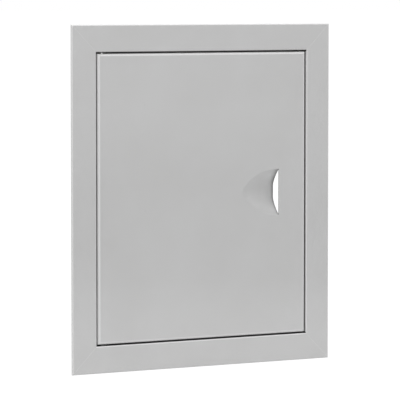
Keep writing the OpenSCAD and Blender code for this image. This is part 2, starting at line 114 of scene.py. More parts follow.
def add_piece(name, bm, body, material, replaces=()):
    """Turns bm into a smooth piece that rides on body, and frees bm."""
    mesh = bpy.data.meshes.new(name)
    bmesh.ops.recalc_face_normals(bm, faces=bm.faces)
    bm.to_mesh(mesh)
    bm.free()
    mesh.polygons.foreach_set("use_smooth", [True] * len(mesh.polygons))
    piece = bpy.data.objects.new(name, mesh)
    bpy.context.scene.collection.objects.link(piece)
    mesh.materials.append(material)
    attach(piece, body)
    if replaces:
        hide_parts(*replaces)
    return piece


def bake(piece):
    """Applies the piece's modifiers to its mesh."""
    evaluated = piece.evaluated_get(bpy.context.evaluated_depsgraph_get())
    mesh = bpy.data.meshes.new_from_object(evaluated)
    piece.modifiers.clear()
    piece.data = mesh


def even_normals(piece):
    """Lets the large flat faces set the normals, so that only folds and bevels shade round."""
    weighted = piece.modifiers.new("even_normals", "WEIGHTED_NORMAL")
    weighted.weight = 60
    weighted.keep_sharp = False


def cut(piece, cutters):
    """Takes the solids in the bmesh cutters out of the piece."""
    mesh = bpy.data.meshes.new("cutters")
    cutters.to_mesh(mesh)
    cutters.free()
    tool = bpy.data.objects.new("cutters", mesh)
    bpy.context.scene.collection.objects.link(tool)
    boolean = piece.modifiers.new("cut", "BOOLEAN")
    boolean.object = tool
    boolean.solver = "EXACT"
    bpy.context.view_layer.update()
    bake(piece)
    bpy.data.objects.remove(tool)


def add_drill(bm, centre, axis, radius):
    """Adds a cylinder that goes through the sheet at centre."""
    turn = Vector(axis).to_track_quat("Z", "Y").to_matrix().to_4x4()
    bmesh.ops.create_cone(bm, cap_ends=True, segments=48, radius1=radius, radius2=radius,
                          depth=4 * SHEET, matrix=Matrix.Translation(centre) @ turn)


def soften(bm, width, keep_away):
    """Bevels every sharp edge, apart from those near a point of keep_away."""
    near = 3 * MM
    sharp = [e for e in bm.edges
             if len(e.link_faces) == 2 and e.calc_face_angle(0) > SHARP_ANGLE
             and all(((e.verts[0].co + e.verts[1].co) / 2 - p).length > near for p in keep_away)]
    bmesh.ops.bevel(bm, geom=sharp, offset=width, segments=2, profile=0.5, affect="EDGES")


def soften_node(node, width):
    """Gives a CAD node's sharp edges a small bevel, which the light can catch."""
    weld = node.modifiers.new("weld", "WELD")
    weld.merge_threshold = 0.001 * MM
    dissolve = node.modifiers.new("dissolve", "DECIMATE")
    dissolve.decimate_type = "DISSOLVE"
    dissolve.angle_limit = math.radians(0.5)
    bevel = node.modifiers.new("bevel", "BEVEL")
    bevel.width = width
    bevel.segments = 2
    bevel.limit_method = "ANGLE"
    bevel.angle_limit = SHARP_ANGLE
    bevel.use_clamp_overlap = False
    node.data.polygons.foreach_set("use_smooth", [True] * len(node.data.polygons))
    even_normals(node)


def spaced(start, end, step):
    """Even stations from start to end, at most step apart."""
    count = max(1, math.ceil(abs(end - start) / step))
    return [start + (end - start) * i / count for i in range(count + 1)]


def loft(bm, rings):
    """Joins rings with the same number of points to one closed solid."""
    for a, b in zip(rings, rings[1:]):
        for k in range(len(a)):
            bm.faces.new((a[k - 1], a[k], b[k], b[k - 1]))
    bm.faces.new(rings[0])
    bm.faces.new(rings[-1])


def lathe(bm, profile, matrix, steps=40):
    """Turns the (radius, height) profile about Z. Its first and last points lie on the axis."""
    rings = [[bm.verts.new(matrix @ Vector((r * math.cos(a), r * math.sin(a), h)))
              for a in (2 * math.pi * k / steps for k in range(steps))]
             for r, h in profile[1:-1]]
    ends = [bm.verts.new(matrix @ Vector((0, 0, profile[i][1]))) for i in (0, -1)]
    for low, high in zip(rings, rings[1:]):
        for k in range(steps):
            bm.faces.new((low[k], low[k - 1], high[k - 1], high[k]))
    for k in range(steps):
        bm.faces.new((ends[0], rings[0][k - 1], rings[0][k]))
        bm.faces.new((ends[1], rings[-1][k], rings[-1][k - 1]))


def rounded(corner, radius, start, end):
    """Points of an arc round corner, from one angle to the other in degrees."""
    steps = 5
    angles = [math.radians(start + (end - start) * i / steps) for i in range(steps + 1)]
    return [(corner[0] + radius * math.cos(a), corner[1] + radius * math.sin(a)) for a in angles]


def quarter_turn(radius):
    """(inset, drop) pairs along a fold of the radius, from its side wall to its face."""
    turn = [QUARTER * i / FOLD_STEPS for i in range(FOLD_STEPS + 1)]
    return [(radius * (1 - math.cos(a)), radius * (1 - math.sin(a))) for a in turn]


# Materials

class Finish:
    """A material's node graph round one Principled shader."""

    def __init__(self, name, roughness, metallic=0.0):
        self.material = bpy.data.materials.new(name)
        self.material.use_nodes = True
        self.tree = self.material.node_tree
        self.shader = self.tree.nodes["Principled BSDF"]
        self.shader.inputs["Metallic"].default_value = metallic
        self.shader.inputs["Roughness"].default_value = roughness
        self.place = self.node("ShaderNodeTexCoord").outputs["Object"]

    def node(self, kind, **settings):
        """A new node with the given settings."""
        made = self.tree.nodes.new(kind)
        for key, value in settings.items():
            setattr(made, key, value)
        return made

    def join(self, source, target):
        self.tree.links.new(source, target)

    def stretched(self, scale):
        """The object's place, scaled by axis."""
        mapping = self.node("ShaderNodeMapping")
        mapping.inputs["Scale"].default_value = scale
        self.join(self.place, mapping.inputs["Vector"])
        return mapping.outputs["Vector"]

    def noise(self, scale, detail=2.0, stretch=None):
        """Cloudy noise from about 0.3 to 0.7."""
        made = self.node("ShaderNodeTexNoise")
        made.inputs["Scale"].default_value = scale
        made.inputs["Detail"].default_value = detail
        self.join(self.stretched(stretch) if stretch else self.place, made.inputs["Vector"])
        return made.outputs["Fac"]

    def cells(self, scale, output="Distance"):
        """The distance from each cell's seed, or the cell's colour."""
        made = self.node("ShaderNodeTexVoronoi")
        made.inputs["Scale"].default_value = scale
        self.join(self.place, made.inputs["Vector"])
        return made.outputs[output]

    def parts(self, output):
        """The x, y and z of the object's place or normal."""
        axes = self.node("ShaderNodeSeparateXYZ")
        self.join(self.node("ShaderNodeTexCoord").outputs[output], axes.inputs[0])
        return [axes.outputs[axis] for axis in "XYZ"]

    def maths(self, operation, first, second=0.0):
        """The result of an operation on one output and another output or a number."""
        made = self.node("ShaderNodeMath", operation=operation)
        self.join(first, made.inputs[0])
        if isinstance(second, bpy.types.NodeSocket):
            self.join(second, made.inputs[1])
        else:
            made.inputs[1].default_value = second
        return made.outputs[0]

    def product(self, first, *others):
        """All the outputs multiplied together."""
        for other in others:
            first = self.maths("MULTIPLY", first, other)
        return first

    def spread(self, value, low, high, source=(0.3, 0.7)):
        """Maps value, which runs over source, to low ... high."""
        made = self.node("ShaderNodeMapRange")
        made.inputs["From Min"].default_value, made.inputs["From Max"].default_value = source
        made.inputs["To Min"].default_value, made.inputs["To Max"].default_value = low, high
        self.join(value, made.inputs["Value"])
        return made.outputs["Result"]

    def over(self, value, start, end, low=0, high=1):
        """Low where the value is under start and high where it is past end, both in mm."""
        return self.spread(value, low, high, (start * MM, end * MM))

    def under(self, value, start, end):
        """1 where the value is under start and 0 where it is past end, both in mm."""
        return self.over(value, start, end, 1, 0)

    def blend(self, share, first, second):
        """A colour between two others. Either may be an output of another node."""
        made = self.node("ShaderNodeMix", data_type="RGBA")
        self.join(share, made.inputs["Factor"])
        for socket, colour in ((made.inputs[6], first), (made.inputs[7], second)):
            if isinstance(colour, bpy.types.NodeSocket):
                self.join(colour, socket)
            else:
                socket.default_value = (*colour, 1)
        return made.outputs[2]

    def bump(self, height, depth, strength, beneath=None):
        """A normal that follows height, on top of the bump beneath it."""
        made = self.node("ShaderNodeBump")
        made.inputs["Distance"].default_value = depth
        made.inputs["Strength"].default_value = strength
        self.join(height, made.inputs["Height"])
        if beneath:
            self.join(beneath, made.inputs["Normal"])
        return made.outputs["Normal"]

    def use(self, colour, roughness, normal):
        """Joins the three outputs to the shader and hands out the material."""
        for name, output in (("Base Color", colour), ("Roughness", roughness), ("Normal", normal)):
            self.join(output, self.shader.inputs[name])
        return self.material


def grey(value, warmth=0.0):
    """A grey of that sRGB value from 0 to 255, as linear colour. Warmth lifts red and lowers blue."""
    linear = ((value / 255 + 0.055) / 1.055) ** 2.4
    return (linear * (1 + warmth), linear, linear * (1 - warmth))


# The powder coat's tone as a grey from 0 to 255, and how far its clouds, its nibs and the painted light
# and shade shift it
PAINT_TONE = 192
CLOUD_SHIFT, WAIST_SHADE_SHIFT, FOOT_LIGHT_SHIFT = 2, -4, 6
FOLD_HIGHLIGHT_SHIFT, SCOOP_LIGHT_SHIFT, FLANK_LIGHT_SHIFT = 38, 10, 20
NIB_SHIFT, GAP_SHADE_SHIFT, RAIL_SHADE_SHIFT, LIP_SHADE_SHIFT, GAP_SHADOW_SHIFT = -24, -46, -60, -125, -165
# a faint warm cast on the painted shade
SHADE_WARMTH = 0.01


class PowderCoat(Finish):
    """Satin light grey powder coat. Each layer of painted light or shade takes a colour and hands out the
    next.
    Depth runs back from the front, off_gap out from the middle of the gap round the door, and off_scoop_x
    and off_scoop_z from the scoop's open end and middle line. Each range of them is in mm."""

    def __init__(self, name, tone):
        super().__init__(name, 0.4)
        self.tone = tone
        x, y, self.z = self.parts("Object")
        self.normal = self.parts("Normal")
        self.depth = self.maths("SUBTRACT", y, FRONT)
        self.off_scoop_x = self.maths("SUBTRACT", x, SCOOP_X)
        self.off_scoop_z = self.maths("SUBTRACT", self.z, SCOOP_Z)
        out_x = self.maths("SUBTRACT", self.maths("ABSOLUTE", x), GAP_X)
        self.out_z = self.maths("SUBTRACT", self.maths("ABSOLUTE", self.z), GAP_Z)
        self.off_gap = self.maths("MAXIMUM", out_x, self.out_z)    # below 0 on the door
        self.before_lip = self.under(self.depth, 18.2, 18.5)

    def layer(self, share, colour, shift, warmth=0.0):
        """The coat's tone, shifted, over the colour."""
        return self.blend(share, colour, grey(self.tone + shift, warmth))

    def base(self):
        """A cloudy tone, with painted shade round the waist and painted light at the foot."""
        clouds = self.spread(self.noise(14, 3), 0, 1)
        warm, cool = 0.002, -0.001
        plain, waist, foot = [self.blend(clouds, grey(self.tone + shift - CLOUD_SHIFT, warm),
                                         grey(self.tone + shift + CLOUD_SHIFT, cool))
                              for shift in (0, WAIST_SHADE_SHIFT, FOOT_LIGHT_SHIFT)]
        # painted shade round the waist, then painted light at the foot
        off_waist = self.maths("ABSOLUTE", self.maths("ADD", self.z, 20 * MM))
        colour = self.blend(self.under(off_waist, 30, 110), plain, waist)
        return self.blend(self.under(self.z, -172, -90), colour, foot)

    def painted_fold_highlights(self, colour):
        """Painted highlights on the folds: the door's all round, and more so where a fold faces up."""
        outside_scoop = self.over(self.off_gap, -3.7, -3.4)
        turned = self.over(self.depth, 0.002, 0.03)
        shallow = self.under(self.depth, 2.3, 2.8)
        facing_up = self.spread(self.normal[2], 0, 1, (-0.31, 0.6))
        on_door = self.over(self.off_gap, -0.1, 0.1, 0.42, 0)
        # a painted highlight along the folds, strongest where they face up
        highlight = self.product(outside_scoop, turned, shallow, self.maths("MAXIMUM", facing_up, on_door))
        return self.layer(highlight, colour, FOLD_HIGHLIGHT_SHIFT)

    def painted_gap_shade(self, colour):
        """Painted shade inside the gap."""
        in_gap = self.under(self.maths("ABSOLUTE", self.off_gap), 0.8, 0.95)
        behind = self.over(self.depth, 1.3, 3.5)
        # painted shade in the gap, behind its first mm or so
        return self.layer(self.product(in_gap, behind, self.before_lip), colour, GAP_SHADE_SHIFT, SHADE_WARMTH)

    def painted_gap_shadow(self, colour):
        """Dark painted shade in the gap's level runs, above and below the door."""
        level = self.product(self.over(self.out_z, -0.74, -0.6), self.under(self.off_gap, 0.95, 1.25))
        start = self.over(self.depth, 0.3, 1.3)
        thinner_inside = self.over(self.depth, 3, 7, 1, 0.15)
        facing_front = self.spread(self.normal[1], 1, 0, (-0.9, -0.3))
        end = self.maths("MAXIMUM", thinner_inside, facing_front)
        # dark painted shade, full on faces that look forward and thinner deeper inside
        deep_shade = self.product(level, start, self.before_lip, end)
        return self.layer(deep_shade, colour, GAP_SHADOW_SHIFT, SHADE_WARMTH)

    def painted_rail_shade(self, colour):
        """Painted shade on the top rail's fold, where it faces down over the gap."""
        facing_down = self.spread(self.normal[2], 1, 0, (-0.9, -0.1))
        on_rail = self.product(self.over(self.off_gap, -0.1, 0.1), self.under(self.off_gap, 1.1, 2))
        # painted shade where the fold faces down
        return self.layer(self.product(facing_down, on_rail), colour, RAIL_SHADE_SHIFT, SHADE_WARMTH)

    def painted_scoop_shading(self, colour):
        """The scoop, with painted light over its floor and low down on its flank, and painted shade along
        its open end.
        """
        beside = SCOOP_HALF / MM
        by_scoop = self.under(self.maths("ABSOLUTE", self.z), beside + 2, beside + 3)
        before_end = self.under(self.off_scoop_x, 0.1, 0.2)
        # painted light over the scoop's deep floor near its open end
        lifted = self.product(self.over(self.off_scoop_x, -20, -6), self.over(self.depth, 1, 4.5),
                                by_scoop, before_end)
        colour = self.layer(lifted, colour, SCOOP_LIGHT_SHIFT)

        narrow_end = -SCOOP_LENGTH / MM
        # painted light low down on the flank
        low_flank = self.product(self.over(self.off_scoop_z, -21, -13),
                                 self.over(self.off_scoop_z, -7, 4, 0.3, 0),
                                 self.under(self.off_scoop_x, 0, 0.1), self.over(self.depth, 0.3, 2),
                                 self.over(self.off_scoop_x, narrow_end, narrow_end + 8))
        colour = self.layer(low_flank, colour, FLANK_LIGHT_SHIFT)

        # painted shade along the open end, broad and soft above the middle and narrow below
        above, below = (4, 18), (-18, -5)
        reach = self.maths("ADD", self.over(self.off_scoop_z, *above, 0, 4.5 * MM),
                           self.over(self.off_scoop_z, *below, 2.8 * MM, 5.3 * MM))
        run = self.spread(self.maths("DIVIDE", self.off_scoop_x, reach), 0, 1, (-1, 0))
        strength = self.product(self.over(self.off_scoop_z, *above, 1, 0.62),
                                self.over(self.off_scoop_z, *below, 0.8, 1))
        lip_shade = self.product(run, run, strength, by_scoop, before_end, self.over(self.depth, 0.15, 0.5))
        return self.layer(lip_shade, colour, LIP_SHADE_SHIFT, SHADE_WARMTH)


def powder_coat():
    """The panel's paint: fine orange peel, a few nibs of dust in the coat, and its painted highlights and
    painted shade.
    """
    paint = PowderCoat("powder_coat", PAINT_TONE)
    nibs = paint.spread(paint.cells(38), 1, 0, (0.0, 0.022))
    colour = paint.layer(nibs, paint.base(), NIB_SHIFT)
    colour = paint.painted_fold_highlights(colour)
    colour = paint.painted_gap_shade(colour)
    colour = paint.painted_gap_shadow(colour)
    colour = paint.painted_rail_shade(colour)
    colour = paint.painted_scoop_shading(colour)
    grains = paint.noise(1300)
    peel = paint.bump(grains, 0.012 * MM, 0.6)
    return paint.use(colour, paint.spread(grains, 0.36, 0.46), paint.bump(nibs, 0.05 * MM, 0.6, peel))


def zinc_plate():
    """Bright zinc plate on sheet steel: faint crystals, roll lines and a cool and warm cast."""
    zinc = Finish("zinc_plate", 0.38, metallic=1.0)
    crystals = zinc.cells(420, "Color")
    cast = zinc.noise(60, 3)
    cool, warm, crystal = (0.60, 0.62, 0.64), (0.66, 0.65, 0.61), (0.52, 0.54, 0.57)
    base = zinc.blend(zinc.spread(cast, 0, 1), cool, warm)
    colour = zinc.blend(zinc.spread(crystals, 0.0, 0.35, (0.0, 1.0)), base, crystal)
    lines = zinc.noise(300, 3, stretch=(0.06, 1, 1))
    return zinc.use(colour, zinc.spread(lines, 0.28, 0.5), zinc.bump(lines, 0.02 * MM, 0.4))


def drawn_steel(name, tone, roughness):
    """Drawn or ground bright steel with fine upright lines."""
    steel = Finish(name, 0.3, metallic=1.0)
    lines = steel.noise(1800, stretch=(1, 1, 0.03))
    stains = steel.noise(90, 3)
    lip_shade, bright = grey(tone - 10, 0.02), tuple(c * 1.12 for c in grey(tone))
    colour = steel.blend(steel.spread(stains, 0, 1), lip_shade, bright)
    return steel.use(colour, steel.spread(lines, *roughness), steel.bump(lines, 0.01 * MM, 0.5))


def nylon():
    """Natural moulded nylon: milky, faintly mottled, with the mould's fine spark texture."""
    plastic = Finish("nylon", 0.5)
    plastic.shader.inputs["Subsurface Weight"].default_value = 0.15
    plastic.shader.inputs["Subsurface Radius"].default_value = (0.002, 0.0016, 0.001)
    mottle = plastic.noise(220, 3)
    spark = plastic.noise(3200)
    dull, milky = (0.66, 0.64, 0.56), (0.74, 0.72, 0.65)
    colour = plastic.blend(plastic.spread(mottle, 0, 1), dull, milky)
    return plastic.use(colour, plastic.spread(spark, 0.42, 0.6), plastic.bump(spark, 0.02 * MM, 0.5))


def acetal():
    """Moulded black acetal: smooth, with a fine spark texture and grey scuffs."""
    plastic = Finish("black_acetal", 0.4)
    scuffs = plastic.noise(900, 4)
    colour = plastic.blend(plastic.spread(scuffs, 0, 1, (0.45, 0.75)), grey(40), grey(66))
    spark = plastic.noise(3000)
    return plastic.use(colour, plastic.spread(scuffs, 0.34, 0.55), plastic.bump(spark, 0.01 * MM, 0.5))


def ferrite():
    """Ground ferrite: near black, fine pores, lines from the grinding wheel."""
    stone = Finish("ferrite", 0.55)
    pores = stone.spread(stone.cells(1500), 1, 0, (0.0, 0.16))
    lines = stone.noise(1400, stretch=(1, 1, 0.04))
    colour = stone.blend(stone.spread(lines, 0, 1), grey(62, -0.02), grey(78, -0.02))
    colour = stone.blend(pores, colour, grey(34))
    ground = stone.bump(lines, 0.01 * MM, 0.5)
    return stone.use(colour, stone.spread(lines, 0.42, 0.62), stone.bump(pores, -0.03 * MM, 0.6, ground))


def rubber():
    """Matt moulded rubber with a dusty bloom."""
    soft = Finish("black_rubber", 0.8)
    bloom = soft.noise(500, 4)
    colour = soft.blend(soft.spread(bloom, 0, 1), grey(36), grey(58))
    return soft.use(colour, soft.spread(bloom, 0.68, 0.88), soft.bump(soft.noise(2500), 0.02 * MM, 0.5))


PAINT = powder_coat()
ZINC = zinc_plate()
PIN_STEEL = drawn_steel("drawn_pin_steel", 196, (0.2, 0.38))
POLE_STEEL = drawn_steel("ground_pole_steel", 200, (0.16, 0.3))
WIRE_STEEL = drawn_steel("spring_wire_steel", 168, (0.28, 0.45))
NYLON = nylon()
ACETAL = acetal()
FERRITE = ferrite()
RUBBER = rubber()


# The door leaf

def curl(x):
    """How much deeper the scoop's floor is at x than its straight slope."""
    run = x - (SCOOP_X - CURL_WIDTH)
    if run <= 0:
        return 0.0
    steepest = 0.95
    angle = math.asin(min(steepest, math.sin(CURL_START) + run / CURL_R))
    return CURL_R * (math.cos(CURL_START) - math.cos(angle)) - run * math.tan(CURL_START)


def pressed_depth(x, z):
    """How far the scoop lies behind the face: a sloping floor between two flanks, with a sharp rim."""
    bluntness, flank_power = 0.66, 1.5
    share = (x - SCOOP_X + SCOOP_LENGTH) / SCOOP_LENGTH
    if share <= 0:
        return 0.0
    half = SCOOP_HALF * math.sin(QUARTER * min(1.0, share) ** bluntness)
    aside = abs(z - SCOOP_Z)
    if aside >= half:
        return 0.0
    flank = max(0.0, aside / half - FLOOR_SHARE) / (1 - FLOOR_SHARE)
    return (SCOOP_DEPTH * share + curl(x)) * (1 - flank ** flank_power)


def scoop_depth(x, z):
    """The depth of the pressed scoop with its rim rounded off."""
    if x < SCOOP_X - SCOOP_LENGTH - RIM_SOFT or abs(z - SCOOP_Z) > SCOOP_HALF + RIM_SOFT:
        return 0.0
    return sum(pressed_depth(x + dx, z + dz) for dx, dz in RIM_SAMPLES) / len(RIM_SAMPLES)


def scoop_back(x, z):
    """How far the back of the scoop's sheet lies behind the back of the flat sheet."""
    step = 0.01 * MM
    depth = scoop_depth(x, z)
    along = (depth - scoop_depth(x - step, z)) / step
    across = (scoop_depth(x, z + step) - scoop_depth(x, z - step)) / (2 * step)
    return depth + SHEET * math.sqrt(1 + along ** 2 + across ** 2) - SHEET


def fold_stations(half, radius, fine):
    """(place, depth) pairs across the face between two folds, which end half off the middle."""
    arc = [(half - inset, drop) for inset, drop in quarter_turn(radius)]
    return [(-p, d) for p, d in arc] + [(p, 0.0) for p in fine] + [(p, d) for p, d in reversed(arc)]


def softer(a, b):
    """The larger of two depths, rounded off where they are alike."""
    near = max(0.0, CORNER_SOFT - abs(a - b))
    return max(a, b) + near ** 2 / (4 * CORNER_SOFT) * min(1.0, max(a, b) / CORNER_SOFT)


def tray_solid(half_w, half_h, radius, front, slit_x, depth_at, rear):
    """A closed solid with a folded front and the scoop in it, cut free of the flat sheet at slit_x.
    rear holds the (x, y) points that close each row behind the right side."""
    scoop_start = SCOOP_X - SCOOP_LENGTH - 4 * MM
    reach = SCOOP_HALF + 2 * MM
    columns = fold_stations(half_w, radius, spaced(scoop_start, slit_x, SCOOP_STEP))
    rows = fold_stations(half_h, radius, spaced(SCOOP_Z - reach, SCOOP_Z + reach, SCOOP_STEP))
    bm = bmesh.new()
    grid = []
    for z, z_depth in rows:
        line = [bm.verts.new((-half_w, rear[-1][1], z))]
        for x, x_depth in columns:
            pressed = depth_at(x, z) if x <= slit_x + ALIKE else 0.0
            line.append(bm.verts.new((x, front + softer(x_depth, z_depth) + pressed, z)))
            if abs(x - slit_x) < ALIKE:
                line.append(bm.verts.new((x, front, z)) if pressed > ALIKE else line[-1])
        grid.append(line + [bm.verts.new((x, y, z)) for x, y in rear])
    for low, high in zip(grid, grid[1:]):
        for i in range(len(low)):
            corners = (low[i - 1], low[i], high[i], high[i - 1])
            ring = [v for k, v in enumerate(corners) if v not in corners[:k]]
            if len(ring) > 2:
                bm.faces.new(ring)
    for line in (grid[0], grid[-1]):
        bm.faces.new(dict.fromkeys(line))
    bmesh.ops.recalc_face_normals(bm, faces=bm.faces)
    return bm


def door_leaf():
    """The tray door, pressed from one sheet, with its scoop and the holes for pins and rivets."""
    half_w, back, half_h = LEAF_HIGH
    rear = [(half_w - inset, back - drop) for inset, drop in quarter_turn(LEAF_FOLD)]
    outside = tray_solid(half_w, half_h, LEAF_FOLD, FRONT, SCOOP_X, scoop_depth, rear)
    piece = add_piece("door_leaf_pressed", outside, "door", PAINT, ["door_leaf"])

    inner_w, inner_r, inner_back, past = half_w - SHEET, LEAF_FOLD - SHEET, back - SHEET, back + MM
    rear = [(inner_w - inset, inner_back - drop) for inset, drop in quarter_turn(inner_r)]
    rear += [(half_w - RETURN, inner_back), (half_w - RETURN, past)]
    hollow = tray_solid(inner_w, half_h - SHEET, inner_r, FRONT + SHEET, SCOOP_X - SLIT, scoop_back, rear)
    cut(piece, hollow)

    holes = bmesh.new()
    for side in (-1, 1):
        add_drill(holes, PIVOT + Vector((0, 0, side * half_h)), (0, 0, 1), PIN_HOLE)
    for z in UPPER_RIVETS + LOWER_RIVETS:
        add_drill(holes, Vector((-half_w, RIVET_Y, z)), (1, 0, 0), RIVET_HOLE)
    cut(piece, holes)

    edge_width = 0.12 * MM
    bm = bmesh.new()
    bm.from_mesh(piece.data)
    slit_end = SCOOP_HALF + RIM_SOFT
    slit_ends = [Vector((SCOOP_X, FRONT, SCOOP_Z + side * slit_end)) for side in (-1, 1)]
    corners = [Vector((sx * half_w, FRONT + LEAF_FOLD / 2, sz * half_h)) for sx, sz in CORNERS]
    soften(bm, edge_width, slit_ends + corners)
    bm.to_mesh(piece.data)
    bm.free()
    even_normals(piece)


# The frame's seams and the welds

def fold_line(path, radius):
    """The middle line of a folded sheet through path, as (point, side) pairs in two dimensions."""
    corners = [Vector(p) for p in path]
    line = []
    for i, corner in enumerate(corners):
        if 0 < i < len(corners) - 1:
            before = (corner - corners[i - 1]).normalized()
            after = (corners[i + 1] - corner).normalized()
            centre = corner + radius * (after - before)
            for k in range(FOLD_STEPS + 1):
                a = QUARTER * k / FOLD_STEPS
                travel = before * math.cos(a) + after * math.sin(a)
                point = centre + radius * (before * math.sin(a) - after * math.cos(a))
                line.append((point, Vector((-travel.y, travel.x))))
        else:
            other = corners[1] if i == 0 else corners[i - 1]
            travel = (other - corner if i == 0 else corner - other).normalized()
            line.append((corner, Vector((-travel.y, travel.x))))
    return line


def mitre_seams():
    """Filler in the four mitres, flush along the middle of the flange and sunk towards its ends."""
    half = SHEET / 2
    path = [(half, 0), (half, FRONT + half), (FLANGE - half, FRONT + half),
            (FLANGE - half, LIP_BACK - half), (LIP_IN, LIP_BACK - half)]
    line = fold_line(path, FRAME_FOLD - half)
    flat = next(i for i in range(len(line) - 1) if (line[i + 1][0] - line[i][0]).length > FLANGE / 2)
    start, side = line[flat]
    end = line[flat + 1][0]
    station_share = 0.08
    between = spaced(0, 1, station_share)[1:-1]
    line[flat + 1:flat + 1] = [(start.lerp(end, share), side) for share in between]

    least_sunk, more_sunk, flush_share = 0.03, 0.09, 0.35
    slant = SEAM * 0.7    # the seam's half width, measured along x or z
    bm = bmesh.new()
    for sx, sz in CORNERS:
        rings = []
        for point, side in line:
            off_middle = abs(2 * point.x / FLANGE - 1)
            sunk = (least_sunk + more_sunk * max(0.0, off_middle - flush_share)) * MM
            outer, inner = point + side * (half - sunk), point - side * (half - sunk)
            rings.append([bm.verts.new((sx * min(OUTER_X, OUTER_X - p.x + s * slant), p.y,
                                        sz * min(OUTER_Z, OUTER_Z - p.x - s * slant)))
                          for p, s in ((outer, -1), (outer, 1), (inner, 1), (inner, -1))])
        loft(bm, rings)
    add_piece("mitre_seams", bm, "frame", PAINT)


def add_bead(bm, start, end, out, width, height):
    """A weld bead with ripples from start to end, raised along out from the surface that it lies on."""
    station, pitch, sides = 0.3 * MM, 1.5 * MM, 8
    ripple_depth, ripple_aside, wander_width, wander_pace = 0.16, 0.1, 0.12, 1.9
    least, blunt = 0.1, 8    # how thick the ends are, and how late the bead tapers
    along = (end - start).normalized()
    across = along.cross(out).normalized()
    length = (end - start).length
    rings = []
    for s in spaced(0, length, station):
        taper = math.sqrt(max(0.0, 1 - (2 * s / length - 1) ** blunt)) * (1 - least) + least
        ripple = 1 - ripple_depth * ((s / pitch) % 1) ** 2
        wander = wander_width * math.sin(s / MM * wander_pace) * MM
        reach = width / 2 * taper * (1 - ripple_aside + ripple_aside * ripple)
        rise = height * taper * ripple
        angles = [math.pi * k / sides for k in range(sides + 1)]
        rings.append([bm.verts.new(start + along * s + across * (wander + reach * math.cos(a))
                                   + out * (rise * math.sin(a))) for a in angles])
    loft(bm, rings)


def frame_weld_beads():
    """Beads along the mitres outside the side walls and behind the lip."""
    wall_x, wall_z = OUTER_X - FLANGE + SHEET, OUTER_Z - FLANGE + SHEET
    lip_x, lip_z = OUTER_X - LIP_IN + MM, OUTER_Z - LIP_IN + MM
    width, wall_height, lip_height = 2.4 * MM, 1.0 * MM, 0.55 * MM
    wall_sunk, wall_start = 0.35 * MM, FRONT + 1.6 * MM
    lip_y, lip_inset = LIP_BACK - 0.1 * MM, 1.5 * MM
    bm = bmesh.new()
    for sx, sz in CORNERS:
        x, z = sx * (wall_x - wall_sunk), sz * (wall_z - wall_sunk)
        out = Vector((sx, 0, sz)).normalized()
        add_bead(bm, Vector((x, wall_start, z)), Vector((x, LIP_BACK, z)), out, width, wall_height)
        near = Vector((sx * (wall_x - lip_inset), lip_y, sz * (wall_z - lip_inset)))
        far = Vector((sx * lip_x, lip_y, sz * lip_z))
        add_bead(bm, near, far, Vector((0, 1, 0)), width, lip_height)
    add_piece("frame_weld_beads", bm, "frame", PAINT)


def door_weld_beads():
    """Small fillets in the four corners of the tray door."""
    inner_x, inner_z = LEAF_HIGH.x - SHEET, LEAF_HIGH.z - SHEET
    width, height, off_corner = 1.2 * MM, 0.6 * MM, 0.1 * MM
    low_y, high_y = 0.5 * MM, LEAF_HIGH.y - 1.6 * MM
    bm = bmesh.new()
    for sx, sz in CORNERS:
        out = Vector((-sx, 0, -sz)).normalized()
        corner = Vector((sx * inner_x, 0, sz * inner_z)) + out * off_corner
        add_bead(bm, corner + Vector((0, low_y, 0)), corner + Vector((0, high_y, 0)), out, width, height)
    add_piece("door_weld_beads", bm, "door", PAINT)


def spot_welds():
    """Shallow rings left by the spot welds that hold the corner plates."""
    foot, ring, pan, middle = -0.2 * MM, 0.14 * MM, 0.03 * MM, 0.02 * MM
    radii = (3.1 * MM, 2.6 * MM, 2.2 * MM, 1.7 * MM)
    profile = [(0, foot), (radii[0], foot), (radii[0], 0.0), (radii[1], ring), (radii[2], ring),
               (radii[3], pan), (0, middle)]
    inset, pitch = 10 * MM, 24 * MM
    bm = bmesh.new()
    for sx, sz in CORNERS:
        for column, row in ((0, 0), (1, 0), (2, 0), (0, 1), (0, 2)):
            place = Vector((sx * (GUSSET_HIGH.x - inset - column * pitch), GUSSET_HIGH.y,
                            sz * (GUSSET_HIGH.z - inset - row * pitch)))
            lathe(bm, profile, Matrix.Translation(place) @ Matrix.Rotation(-QUARTER, 4, "X"), 28)
    add_piece("gusset_spot_welds", bm, "frame", ZINC)


# Fasteners, bumpers and the spring

